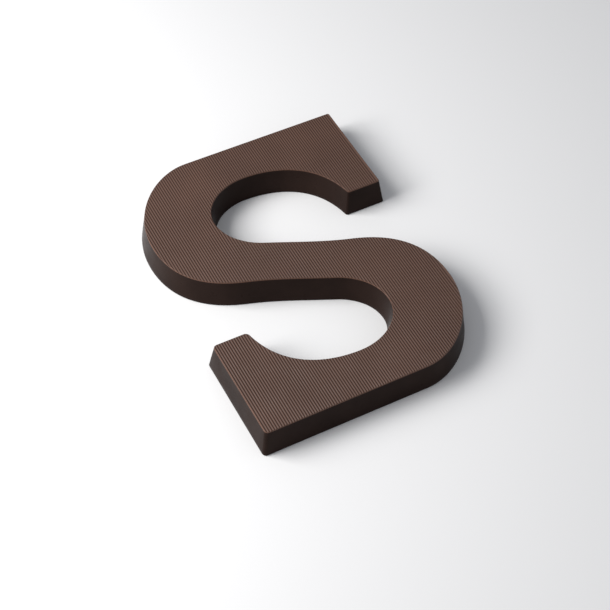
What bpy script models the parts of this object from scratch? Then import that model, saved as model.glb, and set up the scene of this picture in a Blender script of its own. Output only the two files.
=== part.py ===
"""A chocolate letter S, moulded in one solid piece and lying on its poured back.

Metres, +Z up. The letter reads upright along +Y, and its origin is the middle of its base.
The top face carries fine straight ribs that run along the letter's height.
The lower half of the outline is the upper half turned half way round the middle,
apart from its rounder corners.
"""
import bpy
import bmesh
from math import cos, pi, radians, sin
from mathutils import Vector

# Driving dimensions of the top face
LETTER_WIDTH = 0.1076
LETTER_HEIGHT = 0.1500
ARM_DEPTH = 0.0200          # top arm, front to back
BOWL_STROKE = 0.0302        # side of the bowl, left to right
TERMINAL_WIDTH = 0.0160     # flat end of the arm
TERMINAL_RISE = 0.0258      # flat end above the middle of the letter
HEAD_CORNER_RADIUS = 0.0009     # upright edges of the three corners in the upper half
FOOT_CORNER_RADIUS = 0.0018     # and of the three in the lower half, which are rounder

# Driving dimensions across the thickness
THICKNESS = 0.0130
DRAFT_SPREAD = 0.0018       # how far the walls spread from top to base
TOP_EDGE_RADIUS = 0.0005
BASE_EDGE_RADIUS = 0.0005

# Ribs on the top face
RIB_PITCH = 0.00112
RIB_DEPTH = 0.00025
RIB_FREE_SIDE = 0.0004      # left and right of the outermost ribs
RIBBING_SKIN = 0.00003      # skin above the crests, taken off by the ribbing tool

# Where the curves of the outline turn, measured on the top face
BAY_TOP_X = 0.0
BAY_LEFT_Y = 0.0360
BOWL_TOP_X = -0.0200
BOWL_LEFT_Y = 0.0350
SPINE_START = Vector((0.0255, 0.0010))
SPINE_END = Vector((-0.0095, 0.0160))
SPINE_START_SLOPE = 0.30    # radians from the horizontal
SPINE_END_SLOPE = 0.42
TERMINAL_LEAN = 0.19        # radians from the vertical

# Lengths of the curve handles
SPINE_HANDLE = 0.0120
SPINE_TO_BAY_HANDLE = 0.0060
BAY_LOWER_HANDLE = 0.0110
BAY_UPPER_HANDLE = 0.0105
BAY_TOP_LEFT_HANDLE = 0.0125
BAY_TOP_RIGHT_HANDLE = 0.0120
TERMINAL_HANDLE = 0.0256
CORNER_HANDLE = 0.0040      # lies along a straight side
BOWL_TOP_HANDLE = 0.0160
BOWL_UPPER_HANDLE = 0.0225
BOWL_LOWER_HANDLE = 0.0215
BOWL_TO_SPINE_HANDLE = 0.0160

# Fineness
CURVE_STEPS = 12
EDGE_STEPS = 2
CORNER_STEPS = 3
STRAIGHT_ANGLE = 0.004      # radians, outline points that turn less are dropped
MERGE_DISTANCE = 0.000001
OVERHANG = 0.0050           # how far the ribbing tool reaches past the letter

CHOCOLATE_COLOUR = (0.075, 0.045, 0.036, 1.0)
CHOCOLATE_ROUGHNESS = 0.42
SHARP_ANGLE = radians(30)

LEFT = Vector((-1.0, 0.0))
RIGHT = Vector((1.0, 0.0))
UP = Vector((0.0, 1.0))
DOWN = Vector((0.0, -1.0))


def clear_scene():
    """Remove whatever the file opened with."""
    for old in list(bpy.data.objects):
        bpy.data.objects.remove(old, do_unlink=True)


def new_collection(name):
    """Add a collection to the scene."""
    collection = bpy.data.collections.new(name)
    bpy.context.scene.collection.children.link(collection)
    return collection


def chocolate_material():
    """Dark chocolate, satin as it leaves the mould."""
    material = bpy.data.materials.new("Dark chocolate")
    material.use_nodes = True
    shader = material.node_tree.nodes["Principled BSDF"]
    shader.inputs["Base Color"].default_value = CHOCOLATE_COLOUR
    shader.inputs["Roughness"].default_value = CHOCOLATE_ROUGHNESS
    shader.inputs["Metallic"].default_value = 0.0
    return material


def curve_point(place, back, ahead):
    """A point of the outline, with its handle on the side it is reached from and the one ahead."""
    return place, place + back, place + ahead


def upper_half_points():
    """The outline from the spine's upper edge round the bay, the arm and the bowl."""
    half_width = LETTER_WIDTH / 2
    half_height = LETTER_HEIGHT / 2
    spine_start = Vector((-cos(SPINE_START_SLOPE), sin(SPINE_START_SLOPE)))
    spine_end = Vector((-cos(SPINE_END_SLOPE), sin(SPINE_END_SLOPE)))
    terminal_side = Vector((-sin(TERMINAL_LEAN), cos(TERMINAL_LEAN)))

    bay_left = Vector((BOWL_STROKE - half_width, BAY_LEFT_Y))
    bay_top = Vector((BAY_TOP_X, half_height - ARM_DEPTH))
    inner_corner = Vector((half_width - TERMINAL_WIDTH, TERMINAL_RISE))
    outer_corner = Vector((half_width, TERMINAL_RISE))
    back_corner = Vector((half_width, half_height))
    bowl_top = Vector((BOWL_TOP_X, half_height))
    bowl_left = Vector((-half_width, BOWL_LEFT_Y))

    return [
        curve_point(SPINE_END, -spine_end * SPINE_HANDLE, spine_end * SPINE_TO_BAY_HANDLE),
        curve_point(bay_left, DOWN * BAY_LOWER_HANDLE, UP * BAY_UPPER_HANDLE),
        curve_point(bay_top, LEFT * BAY_TOP_LEFT_HANDLE, RIGHT * BAY_TOP_RIGHT_HANDLE),
        curve_point(inner_corner, terminal_side * TERMINAL_HANDLE, RIGHT * CORNER_HANDLE),
        curve_point(outer_corner, LEFT * CORNER_HANDLE, UP * CORNER_HANDLE),
        curve_point(back_corner, DOWN * CORNER_HANDLE, LEFT * CORNER_HANDLE),
        curve_point(bowl_top, RIGHT * BOWL_TOP_HANDLE, LEFT * BOWL_TOP_HANDLE),
        curve_point(bowl_left, UP * BOWL_UPPER_HANDLE, DOWN * BOWL_LOWER_HANDLE),
        curve_point(-SPINE_START, spine_start * BOWL_TO_SPINE_HANDLE, -spine_start * SPINE_HANDLE),
    ]


def outline_curve(collection):
    """The closed outline of the top face as a flat curve."""
    points = upper_half_points()
    points += [tuple(-place for place in point) for point in points]
    curve = bpy.data.curves.new("outline", "CURVE")
    curve.dimensions = "2D"
    curve.fill_mode = "NONE"
    curve.resolution_u = CURVE_STEPS
    spline = curve.splines.new("BEZIER")
    spline.bezier_points.add(len(points) - 1)
    spline.use_cyclic_u = True
    for knot, (place, back_handle, ahead_handle) in zip(spline.bezier_points, points):
        knot.handle_left_type = "FREE"
        knot.handle_right_type = "FREE"
        knot.co = place.to_3d()
        knot.handle_left = back_handle.to_3d()
        knot.handle_right = ahead_handle.to_3d()
    outline = bpy.data.objects.new("outline", curve)
    collection.objects.link(outline)
    return outline


def outline_mesh(outline):
    """The outline's edges as a mesh. The curve object is removed."""
    bpy.context.view_layer.update()
    evaluated = outline.evaluated_get(bpy.context.evaluated_depsgraph_get())
    mesh = bpy.data.meshes.new_from_object(evaluated)
    bpy.data.objects.remove(outline, do_unlink=True)
    return mesh


def outline_face(body, outline):
    """One flat face inside the outline, facing up."""
    body.from_mesh(outline)
    bmesh.ops.remove_doubles(body, verts=body.verts, dist=MERGE_DISTANCE)
    bmesh.ops.dissolve_limit(body, angle_limit=STRAIGHT_ANGLE, verts=body.verts, edges=body.edges)
    face = bmesh.ops.contextual_create(body, geom=body.edges[:])["faces"][0]
    face.normal_update()
    if face.normal.z < 0:
        face.normal_flip()
    return face


def step_face(body, face, inward, upward):
    """Move the face in and up by one step, leaving a band of wall behind it."""
    bmesh.ops.inset_region(
        body, faces=[face], thickness=inward, depth=upward, use_boundary=True, use_even_offset=True
    )


def round_upright_edges(body):
    """Round the wall's upright edges where the outline turns a corner."""
    corners = [
        edge
        for edge in body.edges
        if edge.verts[0].co.z != edge.verts[1].co.z and edge.calc_face_angle() > SHARP_ANGLE
    ]
    head = [edge for edge in corners if edge.verts[0].co.y > 0]
    foot = [edge for edge in corners if edge.verts[0].co.y < 0]
    for edges, radius in ((head, HEAD_CORNER_RADIUS), (foot, FOOT_CORNER_RADIUS)):
        bmesh.ops.bevel(
            body, geom=edges, offset=radius, segments=CORNER_STEPS,
            profile=0.5, affect="EDGES", material=-1,
        )


def level_face(body, direction):
    """The large level face that looks up, for a direction of 1, or down, for -1."""
    return max(body.faces, key=lambda face: direction * face.normal.z * face.calc_area())


def round_top_edge(body, top):
    """Carry the top face in and up round a quarter circle."""
    for step in range(EDGE_STEPS):
        low = pi / 2 * step / EDGE_STEPS
        high = pi / 2 * (step + 1) / EDGE_STEPS
        inward = TOP_EDGE_RADIUS * (cos(low) - cos(high))
        upward = TOP_EDGE_RADIUS * (sin(high) - sin(low))
        step_face(body, top, inward, upward)


def letter_body(collection, outline):
    """The letter before its ribs: drafted walls between a base and a top face, edges rounded."""
    body = bmesh.new()
    top = outline_face(body, outline)
    step_face(body, top, -DRAFT_SPREAD, 0.0)
    spare = [other for other in body.faces if other is not top]
    bmesh.ops.delete(body, geom=spare, context="FACES")
    bmesh.ops.translate(body, verts=body.verts, vec=(0.0, 0.0, BASE_EDGE_RADIUS))
    step_face(body, top, DRAFT_SPREAD, THICKNESS + RIBBING_SKIN - BASE_EDGE_RADIUS - TOP_EDGE_RADIUS)
    base_rim = [edge for edge in body.edges if edge.is_boundary]
    bmesh.ops.contextual_create(body, geom=base_rim)
    bmesh.ops.recalc_face_normals(body, faces=body.faces)
    round_upright_edges(body)
    round_top_edge(body, level_face(body, 1))
    step_face(body, level_face(body, -1), BASE_EDGE_RADIUS, BASE_EDGE_RADIUS)
    bmesh.ops.recalc_face_normals(body, faces=body.faces)
    mesh = bpy.data.meshes.new("letter")
    body.to_mesh(mesh)
    body.free()
    mesh.shade_smooth()
    mesh.set_sharp_from_angle(angle=SHARP_ANGLE)
    letter = bpy.data.objects.new("letter", mesh)
    collection.objects.link(letter)
    return letter


def rib_line():
    """The ribbing tool's upper line from left to right: level, with a groove at every pitch."""
    reach = LETTER_WIDTH / 2 + DRAFT_SPREAD + OVERHANG
    start = RIB_FREE_SIDE - LETTER_WIDTH / 2
    grooves = int((LETTER_WIDTH - 2 * RIB_FREE_SIDE) / RIB_PITCH)
    line = [(-reach, THICKNESS), (start, THICKNESS)]
    for groove in range(grooves):
        line.append((start + (groove + 0.5) * RIB_PITCH, THICKNESS - RIB_DEPTH))
        line.append((start + (groove + 1) * RIB_PITCH, THICKNESS))
    line.append((reach, THICKNESS))
    return line


def rib_tool(collection):
    """A slab with the ribs along its top. The letter keeps what lies inside it."""
    reach = LETTER_HEIGHT / 2 + DRAFT_SPREAD + OVERHANG
    line = rib_line()
    corners = line + [(line[-1][0], -OVERHANG), (line[0][0], -OVERHANG)]
    slab = bmesh.new()
    end = slab.faces.new([slab.verts.new((x, -reach, z)) for x, z in corners])
    made = bmesh.ops.extrude_face_region(slab, geom=[end])
    moved = [item for item in made["geom"] if isinstance(item, bmesh.types.BMVert)]
    bmesh.ops.translate(slab, verts=moved, vec=(0.0, 2 * reach, 0.0))
    bmesh.ops.recalc_face_normals(slab, faces=slab.faces)
    mesh = bpy.data.meshes.new("rib_tool")
    slab.to_mesh(mesh)
    slab.free()
    tool = bpy.data.objects.new("rib_tool", mesh)
    tool.hide_render = True
    tool.display_type = "WIRE"
    collection.objects.link(tool)
    return tool


def press_ribs(letter, tool):
    """Give the letter's top face the ribs of the tool."""
    ribs = letter.modifiers.new("Ribs", "BOOLEAN")
    ribs.operation = "INTERSECT"
    ribs.solver = "EXACT"
    ribs.object = tool


def main():
    """Build the letter and its ribbing tool."""
    clear_scene()
    letters = new_collection("chocolate_letter")
    cutters = new_collection("cutters")
    letter = letter_body(letters, outline_mesh(outline_curve(letters)))
    letter.data.materials.append(chocolate_material())
    press_ribs(letter, rib_tool(cutters))


main()
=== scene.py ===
"""A moulded dark chocolate letter S with a finely ribbed face, lying on a pale floor.

Laid out as an add-on and run as a script. Metres, +Z up.
"""

from collections import namedtuple
from math import cos, pi, radians, sin, tau

import bmesh
import bpy
from bpy.props import FloatProperty, FloatVectorProperty, IntProperty, PointerProperty
from mathutils import Matrix, Vector, kdtree, noise


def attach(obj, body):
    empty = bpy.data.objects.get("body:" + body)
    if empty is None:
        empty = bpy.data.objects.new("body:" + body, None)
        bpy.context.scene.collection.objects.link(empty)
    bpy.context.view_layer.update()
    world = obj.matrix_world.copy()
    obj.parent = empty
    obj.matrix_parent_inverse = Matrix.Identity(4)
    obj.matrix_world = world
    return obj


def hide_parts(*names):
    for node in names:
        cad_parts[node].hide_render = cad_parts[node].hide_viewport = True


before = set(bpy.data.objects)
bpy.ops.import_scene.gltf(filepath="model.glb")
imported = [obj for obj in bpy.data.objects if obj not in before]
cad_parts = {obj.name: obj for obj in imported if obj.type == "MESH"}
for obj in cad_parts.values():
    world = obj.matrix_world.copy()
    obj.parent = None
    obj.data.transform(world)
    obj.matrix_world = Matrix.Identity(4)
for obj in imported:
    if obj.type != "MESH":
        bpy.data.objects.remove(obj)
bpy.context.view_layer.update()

bl_info = {
    "name": "Chocolate letter",
    "version": (1, 0, 0),
    "blender": (4, 5, 0),
    "location": "3D View > Sidebar > Chocolate letter",
    "description": "Makes a moulded chocolate letter with a ribbed face, and a small studio for it",
    "category": "Add Mesh",
}

LETTER_NODE = "letter"
BODY = "root"

# Where the curves of the outline turn, in metres from the middle of the top face, and how the
# outline leans at the spine's two ends and beside the head arm's flat end, in radians
BAY_TOP_X = 0.0
BAY_LEFT_Y = 0.0360
BOWL_TOP_X = -0.0200
BOWL_LEFT_Y = 0.0350
SPINE_START = Vector((0.0255, 0.0010))
SPINE_END = Vector((-0.0095, 0.0160))
SPINE_START_SLOPE = 0.30
SPINE_END_SLOPE = 0.42
TERMINAL_LEAN = 0.19

# Lengths of the curve handles, in metres
SPINE_HANDLE = 0.0120
SPINE_TO_BAY_HANDLE = 0.0060
BAY_LOWER_HANDLE = 0.0110
BAY_UPPER_HANDLE = 0.0105
BAY_TOP_LEFT_HANDLE = 0.0125
BAY_TOP_RIGHT_HANDLE = 0.0120
TERMINAL_HANDLE = 0.0256
CORNER_HANDLE = 0.0040      # lies along a straight side
BOWL_TOP_HANDLE = 0.0160
BOWL_UPPER_HANDLE = 0.0225
BOWL_LOWER_HANDLE = 0.0215
BOWL_TO_SPINE_HANDLE = 0.0160

# Fineness of the letter's mesh, in metres and radians
CURVE_STEPS = 28            # to each stretch between two turning points
STRAIGHT_ANGLE = 0.004      # points that turn the outline less than this are left out
LONGEST_STEP = 0.0040       # longer than the widest corner rounding
MERGE_DISTANCE = 0.000001
WALL_BANDS = 8
CORNER_BANDS = 6
TOP_EDGE_BANDS = 5
BASE_EDGE_BANDS = 4
RIB_SAMPLES = 10            # columns of faces to one rib
RIB_ROW_STEP = 0.0040       # length of those faces, along the rib
BACK_GRID_STEP = 0.0020

# An upright edge sharper than the first is rounded, and an edge sharper than the second is
# shaded sharp
CORNER_ANGLE = radians(30)
SMOOTH_ANGLE = radians(38)

# How far the ribbed slab reaches past the letter, and how far the plain letter stands above the
# crests, so that the slab shapes all of its face
SLAB_OVERHANG = 0.0050
RIBBING_SKIN = 0.00002

# How the surfaces wander: waves to the metre, and the share that finer waves or the drift take
WALL_WAVES = (90.0, 260.0)
WALL_FINE_SHARE = 0.5
BACK_WAVES = (120.0, 420.0)
BACK_FINE_SHARE = 0.4
BACK_DRIFT = 0.3
RIB_WAVES = 60.0
RIB_DRIFT = 0.08

# Each surface draws its waves from seeds of its own
SEED_STRIDE = Vector((3.1, 1.7, 2.3))
BACK_SEED = 2
RIB_SEED = 4

# The most that cutting the ribs may change the letter's footprint
FOOTPRINT_TOLERANCE = 0.0001

# A surface's look: clouds of colour and patches of duller gloss, both to the metre, how far
# the colour drifts, the roughness between its two ends, and how strong the reflections are
Finish = namedtuple("Finish", "cloud_scale cloud_spread patch_scale smoothest roughest sheen")
RIBBED_FINISH = Finish(
    cloud_scale=45.0, cloud_spread=0.08, patch_scale=110.0, smoothest=0.42, roughest=0.54, sheen=0.25
)
EDGE_FINISH = RIBBED_FINISH._replace(smoothest=0.30, roughest=0.40, sheen=0.14)
MOULDED_FINISH = Finish(
    cloud_scale=70.0, cloud_spread=0.15, patch_scale=160.0, smoothest=0.26, roughest=0.40, sheen=0.04
)
POURED_FINISH = Finish(
    cloud_scale=55.0, cloud_spread=0.18, patch_scale=140.0, smoothest=0.42, roughest=0.60, sheen=0.35
)
CLOUD_DETAIL = 4.0
CLOUD_ROUGHNESS = 0.5
PATCH_DETAIL = 5.0
PATCH_ROUGHNESS = 0.6

# Relief too fine for the mesh: how close and how broken it is, and how far it stands up
Grain = namedtuple("Grain", "scale detail roughness height strength")
RIBBED_GRAIN = Grain(scale=5200.0, detail=2.0, roughness=0.5, height=0.00002, strength=0.35)
MOULDED_GRAIN = Grain(scale=240.0, detail=3.0, roughness=0.5, height=0.0001, strength=0.15)
POURED_GRAIN = Grain(scale=900.0, detail=5.0, roughness=0.6, height=0.0002, strength=0.30)

# Almost all of a noise texture lies between these two values
NOISE_LOW = 0.3
NOISE_HIGH = 0.7

FLOOR_ROUGHNESS = 0.75

# The camera's sensor, in millimetres, and the nearest that it sees, in metres
SENSOR_WIDTH = 36.0
CLIP_START = 0.01

# Ways that a curve can leave a turning point
LEFT = Vector((-1.0, 0.0))
RIGHT = Vector((1.0, 0.0))
UP = Vector((0.0, 1.0))
DOWN = Vector((0.0, -1.0))

# Material slots on the letter, past the walls' own, in which every new face starts
FACE_SLOT = 1
BACK_SLOT = 2
EDGE_SLOT = 3


class LetterSizes(bpy.types.PropertyGroup):
    """Sizes of the letter, measured on its top face unless a description says otherwise."""

    width: FloatProperty(
        name="Width", description="Left side to right side",
        default=0.1076, min=0.02, subtype="DISTANCE", precision=5,
    )
    height: FloatProperty(
        name="Height", description="Foot to head of the letter",
        default=0.1500, min=0.02, subtype="DISTANCE", precision=5,
    )
    thickness: FloatProperty(
        name="Thickness", description="Back to the crests of the ribs",
        default=0.0130, min=0.002, subtype="DISTANCE", precision=5,
    )
    arm_depth: FloatProperty(
        name="Arm depth", description="Head arm, across its stroke",
        default=0.0200, min=0.002, subtype="DISTANCE", precision=5,
    )
    bowl_stroke: FloatProperty(
        name="Bowl stroke", description="Side of the bowl, across its stroke",
        default=0.0302, min=0.002, subtype="DISTANCE", precision=5,
    )
    terminal_width: FloatProperty(
        name="Terminal width", description="Flat end of each arm",
        default=0.0160, min=0.002, subtype="DISTANCE", precision=5,
    )
    terminal_rise: FloatProperty(
        name="Terminal rise", description="Flat end of the head arm above the letter's middle",
        default=0.0258, min=0.002, subtype="DISTANCE", precision=5,
    )
    head_corner_radius: FloatProperty(
        name="Head corner radius", description="Rounding of the upright edges at the upper half's corners",
        default=0.0009, min=0.0001, subtype="DISTANCE", precision=5,
    )
    foot_corner_radius: FloatProperty(
        name="Foot corner radius", description="Rounding of the upright edges at the lower half's corners",
        default=0.0018, min=0.0001, subtype="DISTANCE", precision=5,
    )
    draft_spread: FloatProperty(
        name="Draft", description="How far each wall spreads from the top edge to the base",
        default=0.0018, min=0.0, subtype="DISTANCE", precision=5,
    )
    top_edge_radius: FloatProperty(
        name="Top edge radius", description="Rounding between wall and ribbed face",
        default=0.0005, min=0.0001, subtype="DISTANCE", precision=5,
    )
    base_edge_radius: FloatProperty(
        name="Base edge radius", description="Rounding between wall and back",
        default=0.0005, min=0.0001, subtype="DISTANCE", precision=5,
    )
    rib_pitch: FloatProperty(
        name="Rib pitch", description="Crest to crest",
        default=0.00112, min=0.0002, subtype="DISTANCE", precision=5,
    )
    rib_depth: FloatProperty(
        name="Rib depth", description="Crest to groove",
        default=0.00025, min=0.0, subtype="DISTANCE", precision=5,
    )
    rib_free_side: FloatProperty(
        name="Rib-free side", description="Left and right of the outermost ribs",
        default=0.0004, min=0.0, subtype="DISTANCE", precision=5,
    )
    wall_wave: FloatProperty(
        name="Wall waviness", description="How far the moulded walls wander in and out",
        default=0.00004, min=0.0, subtype="DISTANCE", precision=5,
    )
    back_rim: FloatProperty(
        name="Back rim", description="Border over which the poured back sinks in",
        default=0.0060, min=0.0001, subtype="DISTANCE", precision=5,
    )
    back_sink: FloatProperty(
        name="Back sink", description="How far the poured back sinks inside its rim as it sets",
        default=0.00025, min=0.0, subtype="DISTANCE", precision=5,
    )
    seed: IntProperty(
        name="Seed", description="Picks the pattern of the small unevenness", default=7, min=0,
    )


class LetterColours(bpy.types.PropertyGroup):
    """Colours of the chocolate and of the floor, in linear light."""

    crest: FloatVectorProperty(
        name="Rib crest", description="Ribbed face, on the crests",
        subtype="COLOR", size=3, min=0.0, max=1.0, default=(0.127, 0.067, 0.048),
    )
    # Painted shade: the ribbed face's chocolate, darkened down in the grooves where shade falls
    groove: FloatVectorProperty(
        name="Rib groove", description="Ribbed face, down in the grooves",
        subtype="COLOR", size=3, min=0.0, max=1.0, default=(0.043, 0.0210, 0.0150),
    )
    # Walls: partly the chocolate's own dark brown, partly painted shade that makes them far darker than the
    # face
    wall: FloatVectorProperty(
        name="Wall", description="Smooth moulded walls",
        subtype="COLOR", size=3, min=0.0, max=1.0, default=(0.022, 0.0125, 0.0100),
    )
    back: FloatVectorProperty(
        name="Back", description="Poured back",
        subtype="COLOR", size=3, min=0.0, max=1.0, default=(0.060, 0.030, 0.021),
    )
    floor: FloatVectorProperty(
        name="Floor", description="Floor that the letter lies on",
        subtype="COLOR", size=3, min=0.0, max=1.0, default=(0.93, 0.93, 0.94),
    )


class StudioLayout(bpy.types.PropertyGroup):
    """Where the camera and the lights stand."""

    camera_azimuth: FloatProperty(
        name="Camera azimuth", description="From straight in front, positive to the right",
        default=radians(-28.15), subtype="ANGLE",
    )
    camera_elevation: FloatProperty(
        name="Camera elevation", description="Above the floor",
        default=radians(50.40), subtype="ANGLE",
    )
    camera_roll: FloatProperty(
        name="Camera roll", description="Tilt of the horizon",
        default=radians(0.97), subtype="ANGLE",
    )
    camera_distance: FloatProperty(
        name="Camera distance", description="From the point that it is aimed at",
        default=0.6591, min=0.1, subtype="DISTANCE", precision=4,
    )
    camera_aim: FloatVectorProperty(
        name="Camera aim", description="Point in the middle of the picture",
        default=(-0.0097, -0.0236, 0.0130), size=3, subtype="XYZ", precision=4,
    )
    camera_lens: FloatProperty(
        name="Camera lens", description="Focal length on a 36 mm sensor",
        default=92.5, min=10.0, unit="CAMERA",
    )
    floor_reach: FloatProperty(
        name="Floor reach", description="From the middle of the floor to each of its sides",
        default=1.5, min=0.5, subtype="DISTANCE",
    )
    key_place: FloatVectorProperty(
        name="Key light place", description="Main soft light, up on the left and behind the letter",
        default=(-0.40, 0.18, 0.38), size=3, subtype="XYZ", precision=3,
    )
    key_size: FloatProperty(
        name="Key light size", description="Side of the main light's square",
        default=0.35, min=0.01, subtype="DISTANCE",
    )
    key_power: FloatProperty(
        name="Key light power", description="Watts",
        default=3.5, min=0.0, subtype="POWER",
    )
    side_place: FloatVectorProperty(
        name="Side light place", description="Second soft light, farther out on the left",
        default=(-0.80, 0.05, 0.45), size=3, subtype="XYZ", precision=3,
    )
    side_size: FloatProperty(
        name="Side light size", description="Side of the second light's square",
        default=0.30, min=0.01, subtype="DISTANCE",
    )
    side_power: FloatProperty(
        name="Side light power", description="Watts",
        default=2.0, min=0.0, subtype="POWER",
    )
    light_colour: FloatVectorProperty(
        name="Light colour", description="Both soft lights",
        subtype="COLOR", size=3, min=0.0, max=1.0, default=(1.0, 0.99, 0.97),
    )
    sky_colour: FloatVectorProperty(
        name="Sky colour", description="Even light from all round",
        subtype="COLOR", size=3, min=0.0, max=1.0, default=(0.94, 0.96, 1.0),
    )
    sky_strength: FloatProperty(
        name="Sky strength", description="How strong the even light is",
        default=0.34, min=0.0,
    )


def curve_point(place, back, ahead):
    """A point of the outline, with its handle on the side it is reached from and the one ahead."""
    return place, place + back, place + ahead


def upper_half_points(sizes):
    """The outline from the spine's upper edge round the bay, the arm and the bowl."""
    half_width = sizes.width / 2
    half_height = sizes.height / 2
    spine_start = Vector((-cos(SPINE_START_SLOPE), sin(SPINE_START_SLOPE)))
    spine_end = Vector((-cos(SPINE_END_SLOPE), sin(SPINE_END_SLOPE)))
    terminal_side = Vector((-sin(TERMINAL_LEAN), cos(TERMINAL_LEAN)))

    bay_left = Vector((sizes.bowl_stroke - half_width, BAY_LEFT_Y))
    bay_top = Vector((BAY_TOP_X, half_height - sizes.arm_depth))
    inner_corner = Vector((half_width - sizes.terminal_width, sizes.terminal_rise))
    outer_corner = Vector((half_width, sizes.terminal_rise))
    back_corner = Vector((half_width, half_height))
    bowl_top = Vector((BOWL_TOP_X, half_height))
    bowl_left = Vector((-half_width, BOWL_LEFT_Y))

    return [
        curve_point(SPINE_END, -spine_end * SPINE_HANDLE, spine_end * SPINE_TO_BAY_HANDLE),
        curve_point(bay_left, DOWN * BAY_LOWER_HANDLE, UP * BAY_UPPER_HANDLE),
        curve_point(bay_top, LEFT * BAY_TOP_LEFT_HANDLE, RIGHT * BAY_TOP_RIGHT_HANDLE),
        curve_point(inner_corner, terminal_side * TERMINAL_HANDLE, RIGHT * CORNER_HANDLE),
        curve_point(outer_corner, LEFT * CORNER_HANDLE, UP * CORNER_HANDLE),
        curve_point(back_corner, DOWN * CORNER_HANDLE, LEFT * CORNER_HANDLE),
        curve_point(bowl_top, RIGHT * BOWL_TOP_HANDLE, LEFT * BOWL_TOP_HANDLE),
        curve_point(bowl_left, UP * BOWL_UPPER_HANDLE, DOWN * BOWL_LOWER_HANDLE),
        curve_point(-SPINE_START, spine_start * BOWL_TO_SPINE_HANDLE, -spine_start * SPINE_HANDLE),
    ]


def evaluated_mesh(source):
    """A new mesh of an object as its modifiers leave it."""
    bpy.context.view_layer.update()
    evaluated = source.evaluated_get(bpy.context.evaluated_depsgraph_get())
    return bpy.data.meshes.new_from_object(evaluated)


def outline_mesh(sizes):
    """The closed outline of the top face, drawn as a flat curve and made a mesh."""
    points = upper_half_points(sizes)
    # The lower half is the upper half, turned half way round the middle
    points += [tuple(-place for place in point) for point in points]
    curve = bpy.data.curves.new("letter_outline", "CURVE")
    curve.dimensions = "2D"
    curve.fill_mode = "NONE"
    curve.resolution_u = CURVE_STEPS
    spline = curve.splines.new("BEZIER")
    spline.bezier_points.add(len(points) - 1)
    spline.use_cyclic_u = True
    for knot, (place, back_handle, ahead_handle) in zip(spline.bezier_points, points):
        knot.handle_left_type = "FREE"
        knot.handle_right_type = "FREE"
        knot.co = place.to_3d()
        knot.handle_left = back_handle.to_3d()
        knot.handle_right = ahead_handle.to_3d()
    outline = bpy.data.objects.new("letter_outline", curve)
    bpy.context.scene.collection.objects.link(outline)
    mesh = evaluated_mesh(outline)
    bpy.data.objects.remove(outline, do_unlink=True)
    bpy.data.curves.remove(curve)
    return mesh


def outline_face(body, outline):
    """One flat face inside the outline, facing up, with points close enough to wander."""
    body.from_mesh(outline)
    bmesh.ops.remove_doubles(body, verts=body.verts, dist=MERGE_DISTANCE)
    bmesh.ops.dissolve_limit(body, angle_limit=STRAIGHT_ANGLE, verts=body.verts, edges=body.edges)
    for edge in body.edges[:]:
        cuts = int(edge.calc_length() / LONGEST_STEP)
        if cuts:
            bmesh.ops.subdivide_edges(body, edges=[edge], cuts=cuts)
    face = bmesh.ops.contextual_create(body, geom=body.edges[:])["faces"][0]
    face.normal_update()
    if face.normal.z < 0:
        face.normal_flip()
    return face


def step_face(body, face, inward, upward):
    """Inset the face by one step and carry it along its normal. Returns the band that is left behind."""
    return bmesh.ops.inset_region(
        body, faces=[face], thickness=inward, depth=upward, use_boundary=True, use_even_offset=True
    )["faces"]


def raise_walls(body, top, sizes):
    """Spread the top face to the base line, raise it back on drafted walls, and close the base."""
    step_face(body, top, -sizes.draft_spread, 0.0)
    spare = [other for other in body.faces if other is not top]
    bmesh.ops.delete(body, geom=spare, context="FACES")
    bmesh.ops.translate(body, verts=body.verts, vec=(0.0, 0.0, sizes.base_edge_radius))
    wall_height = sizes.thickness + RIBBING_SKIN - sizes.base_edge_radius - sizes.top_edge_radius
    for _ in range(WALL_BANDS):
        step_face(body, top, sizes.draft_spread / WALL_BANDS, wall_height / WALL_BANDS)
    base_rim = [edge for edge in body.edges if edge.is_boundary]
    bmesh.ops.contextual_create(body, geom=base_rim)
    bmesh.ops.recalc_face_normals(body, faces=body.faces)


def level_face(body, direction):
    """The large level face that looks up, for a direction of 1, or down, for -1."""
    return max(body.faces, key=lambda face: direction * face.normal.z * face.calc_area())


def round_upright_edges(body, sizes):
    """Round the wall's upright edges where the outline turns a corner."""
    corners = [
        edge
        for edge in body.edges
        if edge.verts[0].co.z != edge.verts[1].co.z and edge.calc_face_angle() > CORNER_ANGLE
    ]
    head = [edge for edge in corners if edge.verts[0].co.y > 0]
    foot = [edge for edge in corners if edge.verts[0].co.y < 0]
    for edges, radius in ((head, sizes.head_corner_radius), (foot, sizes.foot_corner_radius)):
        bmesh.ops.bevel(
            body, geom=edges, offset=radius, segments=CORNER_BANDS,
            profile=0.5, affect="EDGES", material=-1,
        )


def round_rim(body, face, radius, bands):
    """Round a level face's rim: carry the face out and in along a quarter circle. Returns the new bands."""
    made = []
    for band in range(bands):
        low = pi / 2 * band / bands
        high = pi / 2 * (band + 1) / bands
        made += step_face(body, face, radius * (cos(low) - cos(high)), radius * (sin(high) - sin(low)))
    return made


def wander(place, scale, seed):
    """A smooth value from -1 to 1 that drifts along the surface."""
    return noise.noise(place * scale + SEED_STRIDE * seed)


def layered_wander(place, scales, fine_share, seed):
    """Coarse waves, and finer ones from the next seed upon them."""
    coarse, fine = scales
    return wander(place, coarse, seed) + fine_share * wander(place, fine, seed + 1)


def ripple_walls(body, sizes):
    """Let the moulded walls wander by a hair, so that their reflections bend."""
    low = sizes.base_edge_radius
    high = sizes.thickness - sizes.top_edge_radius
    moves = []
    for vert in body.verts:
        level = min(1.0, max(0.0, (vert.co.z - low) / (high - low)))
        drift = layered_wander(vert.co, WALL_WAVES, WALL_FINE_SHARE, sizes.seed)
        moves.append(vert.normal * drift * sin(pi * level) * sizes.wall_wave)
    for vert, move in zip(body.verts, moves):
        vert.co += move


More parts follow.
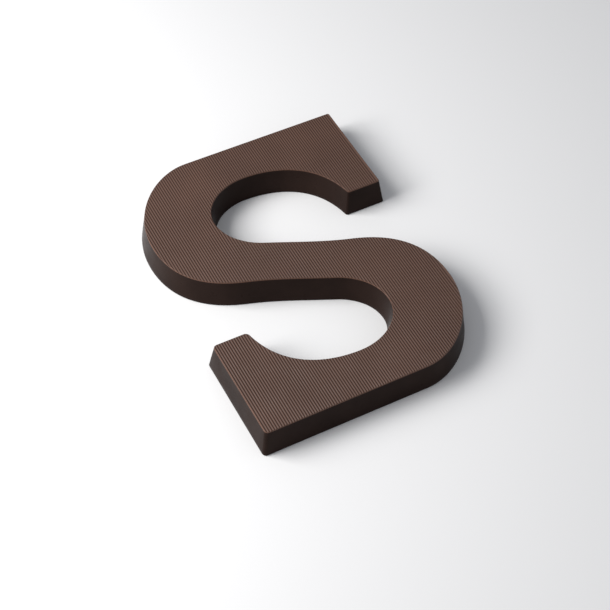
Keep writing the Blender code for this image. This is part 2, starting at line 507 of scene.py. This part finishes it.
def grid_cuts(body, face, step, sizes):
    """Cut a level face into squares. Returns its faces."""
    pieces = [face]
    for axis, reach in ((Vector((1, 0, 0)), sizes.width / 2), (Vector((0, 1, 0)), sizes.height / 2)):
        count = int(reach / step)
        for line in range(-count, count + 1):
            edges = {edge for piece in pieces for edge in piece.edges}
            verts = {vert for piece in pieces for vert in piece.verts}
            cut = bmesh.ops.bisect_plane(
                body, geom=pieces + list(edges) + list(verts), dist=MERGE_DISTANCE,
                plane_co=axis * line * step, plane_no=axis,
            )
            pieces = [item for item in cut["geom"] if isinstance(item, bmesh.types.BMFace)]
    return pieces


def sink_back(body, back, sizes):
    """The poured back: level along its rim, and a shallow uneven hollow inside."""
    rim = kdtree.KDTree(len(back.verts))
    for number, vert in enumerate(back.verts):
        rim.insert(vert.co, number)
    rim.balance()
    hollow = grid_cuts(body, back, BACK_GRID_STEP, sizes)
    for vert in {vert for face in hollow for vert in face.verts}:
        _, _, rim_distance = rim.find(vert.co)
        inside = min(1.0, rim_distance / sizes.back_rim)
        drift = layered_wander(vert.co, BACK_WAVES, BACK_FINE_SHARE, sizes.seed + BACK_SEED)
        vert.co.z += sizes.back_sink * inside * inside * (1.0 - BACK_DRIFT + BACK_DRIFT * drift)
    for face in hollow:
        face.material_index = BACK_SLOT


def finished_mesh(body, name):
    """Turn a bmesh into a mesh and free it."""
    mesh = bpy.data.meshes.new(name)
    body.to_mesh(mesh)
    body.free()
    return mesh


def plain_letter(sizes):
    """The letter before its ribs: back, drafted walls and rounded edges."""
    body = bmesh.new()
    outline = outline_mesh(sizes)
    top = outline_face(body, outline)
    bpy.data.meshes.remove(outline)
    raise_walls(body, top, sizes)
    round_upright_edges(body, sizes)
    body.normal_update()
    ripple_walls(body, sizes)
    for face in round_rim(body, level_face(body, 1), sizes.top_edge_radius, TOP_EDGE_BANDS):
        face.material_index = EDGE_SLOT
    back = level_face(body, -1)
    round_rim(body, back, sizes.base_edge_radius, BASE_EDGE_BANDS)
    sink_back(body, back, sizes)
    bmesh.ops.recalc_face_normals(body, faces=body.faces)
    return finished_mesh(body, "chocolate_letter")


def rib_field(sizes):
    """Where the first rib starts, from the left, and how many ribs there are."""
    start = sizes.rib_free_side - sizes.width / 2
    count = int((sizes.width - 2 * sizes.rib_free_side) / sizes.rib_pitch)
    return start, count


def rib_height(x, y, sizes):
    """Height of the ribbed face at a place: a rounded groove between each two crests."""
    start, count = rib_field(sizes)
    turn = (x - start) / sizes.rib_pitch
    if not 0 < turn < count:
        return sizes.thickness
    drift = wander(Vector((x, y, 0.0)), RIB_WAVES, sizes.seed + RIB_SEED)
    depth = sizes.rib_depth * (1.0 - RIB_DRIFT + RIB_DRIFT * drift)
    return sizes.thickness - depth * (0.5 - 0.5 * cos(tau * turn))


def ribbed_slab_mesh(sizes):
    """A slab with the ribs along its top. The letter keeps what lies inside it."""
    half_x = sizes.width / 2 + sizes.draft_spread + SLAB_OVERHANG
    half_y = sizes.height / 2 + sizes.draft_spread + SLAB_OVERHANG
    step = sizes.rib_pitch / RIB_SAMPLES
    columns = 2 * int(half_x / step)
    rows = 2 * int(half_y / RIB_ROW_STEP)
    slab = bmesh.new()
    bmesh.ops.create_grid(slab, x_segments=columns, y_segments=rows, size=1.0)
    spread = Matrix.Diagonal((columns * step / 2, rows * RIB_ROW_STEP / 2, 1.0, 1.0))
    first_rib, _ = rib_field(sizes)
    # A row of points lies along every crest and groove
    shift = Matrix.Translation((first_rib % step, 0.0, 0.0))
    bmesh.ops.transform(slab, matrix=shift @ spread, verts=slab.verts)
    for vert in slab.verts:
        vert.co.z = rib_height(vert.co.x, vert.co.y, sizes)
    border = [edge for edge in slab.edges if edge.is_boundary]
    skirt = bmesh.ops.extrude_edge_only(slab, edges=border)["geom"]
    for item in skirt:
        if isinstance(item, bmesh.types.BMVert):
            item.co.z = -SLAB_OVERHANG
    border = [edge for edge in slab.edges if edge.is_boundary]
    bmesh.ops.contextual_create(slab, geom=border)
    bmesh.ops.recalc_face_normals(slab, faces=slab.faces)
    for face in slab.faces:
        face.material_index = FACE_SLOT
    return finished_mesh(slab, "ribbed_slab")


def footprint(mesh):
    """How wide and how high a mesh is, seen from above."""
    across = [vert.co.x for vert in mesh.vertices]
    along = [vert.co.y for vert in mesh.vertices]
    if not across:
        return 0.0, 0.0
    return max(across) - min(across), max(along) - min(along)


def cut_ribs(letter, sizes):
    """Keep what of the letter lies inside the ribbed slab."""
    plain = letter.data
    slab = bpy.data.objects.new("ribbed_slab", ribbed_slab_mesh(sizes))
    bpy.context.scene.collection.objects.link(slab)
    ribs = letter.modifiers.new("Ribs", "BOOLEAN")
    ribs.operation = "INTERSECT"
    ribs.solver = "EXACT"
    ribs.object = slab
    mesh = evaluated_mesh(letter)
    letter.modifiers.clear()
    bpy.data.objects.remove(slab, do_unlink=True)
    for before, after in zip(footprint(plain), footprint(mesh)):
        if abs(after - before) > FOOTPRINT_TOLERANCE:
            raise RuntimeError("Cutting the ribs didn't leave a whole letter")
    letter.data = mesh
    bpy.data.meshes.remove(plain)


def shade_letter(mesh):
    """Shade the letter smooth, with a crisp line round the ribbed face."""
    body = bmesh.new()
    body.from_mesh(mesh)
    for face in body.faces:
        face.smooth = True
    for edge in body.edges:
        ribbed = [face.material_index == FACE_SLOT for face in edge.link_faces]
        edge.smooth = all(ribbed) or not any(ribbed)
        if edge.calc_face_angle(0.0) > SMOOTH_ANGLE:
            edge.smooth = False
    body.to_mesh(mesh)
    body.free()


def new_material(name):
    """A material with an empty node tree, its shader already wired to the output."""
    material = bpy.data.materials.new(name)
    material.use_nodes = True
    tree = material.node_tree
    tree.nodes.clear()
    output = tree.nodes.new("ShaderNodeOutputMaterial")
    shader = tree.nodes.new("ShaderNodeBsdfPrincipled")
    tree.links.new(shader.outputs["BSDF"], output.inputs["Surface"])
    return material, tree, shader


def object_place(tree):
    """The place on the object, in metres."""
    return tree.nodes.new("ShaderNodeTexCoord").outputs["Object"]


def noise_value(tree, place, scale, detail, roughness):
    """A cloudy value, mostly between NOISE_LOW and NOISE_HIGH."""
    cloud = tree.nodes.new("ShaderNodeTexNoise")
    cloud.inputs["Scale"].default_value = scale
    cloud.inputs["Detail"].default_value = detail
    cloud.inputs["Roughness"].default_value = roughness
    tree.links.new(place, cloud.inputs["Vector"])
    return cloud.outputs["Fac"]


def spread_value(tree, value, low, high, to_low, to_high):
    """Stretch a value from one range to another."""
    stretch = tree.nodes.new("ShaderNodeMapRange")
    stretch.inputs["From Min"].default_value = low
    stretch.inputs["From Max"].default_value = high
    stretch.inputs["To Min"].default_value = to_low
    stretch.inputs["To Max"].default_value = to_high
    tree.links.new(value, stretch.inputs["Value"])
    return stretch.outputs["Result"]


def mix_colours(tree, share, first, second):
    """Blend two colours, each a colour or another node's output."""
    blend = tree.nodes.new("ShaderNodeMix")
    blend.data_type = "RGBA"
    tree.links.new(share, blend.inputs["Factor"])
    for socket, colour in ((blend.inputs["A"], first), (blend.inputs["B"], second)):
        if isinstance(colour, bpy.types.NodeSocket):
            tree.links.new(colour, socket)
        else:
            socket.default_value = (*colour, 1.0)
    return blend.outputs["Result"]


def shaded(colour, factor):
    """A colour made lighter or darker."""
    return tuple(min(1.0, part * factor) for part in colour)


def mottled(tree, place, colour, finish):
    """A plain colour that drifts lighter and darker along the surface."""
    noise_field = noise_value(tree, place, finish.cloud_scale, CLOUD_DETAIL, CLOUD_ROUGHNESS)
    cloud = spread_value(tree, noise_field, NOISE_LOW, NOISE_HIGH, 0.0, 1.0)
    darker = shaded(colour, 1.0 - finish.cloud_spread)
    lighter = shaded(colour, 1.0 + finish.cloud_spread)
    return mix_colours(tree, cloud, darker, lighter)


def set_gloss(tree, shader, place, finish):
    """Uneven gloss: a roughness that drifts between two values, and the strength of the sheen."""
    noise_field = noise_value(tree, place, finish.patch_scale, PATCH_DETAIL, PATCH_ROUGHNESS)
    patches = spread_value(tree, noise_field, NOISE_LOW, NOISE_HIGH, finish.smoothest, finish.roughest)
    tree.links.new(patches, shader.inputs["Roughness"])
    shader.inputs["Specular IOR Level"].default_value = finish.sheen


def add_grain(tree, shader, place, grain):
    """Relief that only shows in how the surface catches the light."""
    bump = tree.nodes.new("ShaderNodeBump")
    bump.inputs["Distance"].default_value = grain.height
    bump.inputs["Strength"].default_value = grain.strength
    height = noise_value(tree, place, grain.scale, grain.detail, grain.roughness)
    tree.links.new(height, bump.inputs["Height"])
    tree.links.new(bump.outputs["Normal"], shader.inputs["Normal"])


def plain_chocolate(name, colour, finish):
    """Chocolate of one colour. Returns its material, tree, shader and place."""
    material, tree, shader = new_material(name)
    place = object_place(tree)
    tree.links.new(mottled(tree, place, tuple(colour), finish), shader.inputs["Base Color"])
    set_gloss(tree, shader, place, finish)
    return material, tree, shader, place


def ribbed_chocolate(colours, sizes):
    """Satin face, faintly clouded, with a fine grain; painted shade darkens its colour down in the grooves.
    """
    material, tree, shader = new_material("ribbed_chocolate")
    place = object_place(tree)
    parts = tree.nodes.new("ShaderNodeSeparateXYZ")
    tree.links.new(place, parts.inputs["Vector"])
    # How high the face stands between groove and crest: the lower it lies, the more painted shade it gets
    crest = spread_value(
        tree, parts.outputs["Z"], sizes.thickness - sizes.rib_depth, sizes.thickness, 0.0, 1.0
    )
    # The chocolate on the crests, and the same chocolate with painted shade in the grooves
    light = mottled(tree, place, tuple(colours.crest), RIBBED_FINISH)
    painted_groove_shade = mottled(tree, place, tuple(colours.groove), RIBBED_FINISH)
    tree.links.new(mix_colours(tree, crest, painted_groove_shade, light), shader.inputs["Base Color"])
    set_gloss(tree, shader, place, RIBBED_FINISH)
    add_grain(tree, shader, place, RIBBED_GRAIN)
    return material


def edge_chocolate(colours):
    """Rounding between the ribbed face and the walls: as light as the crests, and smoother."""
    material, *_ = plain_chocolate("edge_chocolate", colours.crest, EDGE_FINISH)
    return material


def moulded_chocolate(colours):
    """Wall from the mould: smoother than the face, with soft smears and a slow wave; almost black, partly
    from painted shade.
    """
    material, tree, shader, place = plain_chocolate("moulded_chocolate", colours.wall, MOULDED_FINISH)
    add_grain(tree, shader, place, MOULDED_GRAIN)
    return material


def poured_chocolate(colours):
    """Dull back: set in the open, with a fine uneven skin."""
    material, tree, shader, place = plain_chocolate("poured_chocolate", colours.back, POURED_FINISH)
    add_grain(tree, shader, place, POURED_GRAIN)
    return material


def floor_material(colours):
    """Plain pale floor without gloss."""
    material, _, shader = new_material("pale_floor")
    shader.inputs["Base Color"].default_value = (*colours.floor, 1.0)
    shader.inputs["Roughness"].default_value = FLOOR_ROUGHNESS
    return material


class CHOCOLATE_OT_letter(bpy.types.Operator):
    """Mould the letter: walls, ribbed face and poured back"""

    bl_idname = "chocolate_letter.letter"
    bl_label = "Letter"

    def execute(self, context):
        sizes = context.scene.letter_sizes
        colours = context.scene.letter_colours
        letter = bpy.data.objects.new("chocolate_letter", plain_letter(sizes))
        context.scene.collection.objects.link(letter)
        letter.data.materials.append(moulded_chocolate(colours))
        letter.data.materials.append(ribbed_chocolate(colours, sizes))
        letter.data.materials.append(poured_chocolate(colours))
        letter.data.materials.append(edge_chocolate(colours))
        cut_ribs(letter, sizes)
        shade_letter(letter.data)
        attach(letter, BODY)
        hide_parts(LETTER_NODE)
        return {"FINISHED"}


def add_floor(studio, colours):
    """A plain square floor at the height that the letter lies at."""
    ground = bmesh.new()
    bmesh.ops.create_grid(ground, x_segments=1, y_segments=1, size=studio.floor_reach)
    floor = bpy.data.objects.new("floor", finished_mesh(ground, "floor"))
    floor.data.materials.append(floor_material(colours))
    bpy.context.scene.collection.objects.link(floor)


def add_sky(studio):
    """Even light from all round."""
    world = bpy.data.worlds.new("studio")
    world.use_nodes = True
    background = world.node_tree.nodes["Background"]
    background.inputs["Color"].default_value = (*studio.sky_colour, 1.0)
    background.inputs["Strength"].default_value = studio.sky_strength
    bpy.context.scene.world = world


def add_light(name, place, size, power, colour):
    """A square soft light that faces the letter."""
    data = bpy.data.lights.new(name, "AREA")
    data.shape = "SQUARE"
    data.size = size
    data.energy = power
    data.color = colour
    light = bpy.data.objects.new(name, data)
    light.location = place
    light.rotation_euler = (-Vector(place)).to_track_quat("-Z", "Y").to_euler()
    bpy.context.scene.collection.objects.link(light)


def add_camera(studio):
    """The scene's camera, on a sphere round the point that it is aimed at."""
    data = bpy.data.cameras.new("camera")
    data.lens = studio.camera_lens
    data.sensor_width = SENSOR_WIDTH
    data.clip_start = CLIP_START
    camera = bpy.data.objects.new("camera", data)
    azimuth = studio.camera_azimuth
    elevation = studio.camera_elevation
    back = Vector((
        sin(azimuth) * cos(elevation),
        -cos(azimuth) * cos(elevation),
        sin(elevation),
    ))
    place = Matrix.Translation(Vector(studio.camera_aim) + back * studio.camera_distance)
    turn = (-back).to_track_quat("-Z", "Y").to_matrix().to_4x4()
    camera.matrix_world = place @ turn @ Matrix.Rotation(studio.camera_roll, 4, "Z")
    bpy.context.scene.collection.objects.link(camera)
    bpy.context.scene.camera = camera


class CHOCOLATE_OT_stage(bpy.types.Operator):
    """Set up the floor, the soft lights and the camera"""

    bl_idname = "chocolate_letter.stage"
    bl_label = "Stage"

    def execute(self, context):
        studio = context.scene.letter_studio
        add_floor(studio, context.scene.letter_colours)
        add_sky(studio)
        add_light("key", studio.key_place, studio.key_size, studio.key_power, studio.light_colour)
        add_light("side", studio.side_place, studio.side_size, studio.side_power, studio.light_colour)
        add_camera(studio)
        context.scene.view_settings.view_transform = "Standard"
        return {"FINISHED"}


class CHOCOLATE_PT_panel(bpy.types.Panel):
    """The letter's sizes, colours and buttons"""

    bl_label = "Chocolate letter"
    bl_idname = "CHOCOLATE_PT_panel"
    bl_space_type = "VIEW_3D"
    bl_region_type = "UI"
    bl_category = "Chocolate letter"

    def draw(self, context):
        layout = self.layout
        layout.operator(CHOCOLATE_OT_letter.bl_idname)
        layout.operator(CHOCOLATE_OT_stage.bl_idname)
        for group in (
            context.scene.letter_sizes,
            context.scene.letter_colours,
            context.scene.letter_studio,
        ):
            column = layout.column(align=True)
            for name in group.__annotations__:
                column.prop(group, name)


CLASSES = (
    LetterSizes,
    LetterColours,
    StudioLayout,
    CHOCOLATE_OT_letter,
    CHOCOLATE_OT_stage,
    CHOCOLATE_PT_panel,
)


def register():
    """Add the classes, and the settings that a scene holds."""
    for cls in CLASSES:
        bpy.utils.register_class(cls)
    bpy.types.Scene.letter_sizes = PointerProperty(type=LetterSizes)
    bpy.types.Scene.letter_colours = PointerProperty(type=LetterColours)
    bpy.types.Scene.letter_studio = PointerProperty(type=StudioLayout)


def unregister():
    """Take the settings and the classes out again."""
    del bpy.types.Scene.letter_studio
    del bpy.types.Scene.letter_colours
    del bpy.types.Scene.letter_sizes
    for cls in reversed(CLASSES):
        bpy.utils.unregister_class(cls)


def main():
    """Register the add-on and make every piece."""
    register()
    bpy.ops.chocolate_letter.letter()
    bpy.ops.chocolate_letter.stage()


if __name__ == "__main__":
    main()
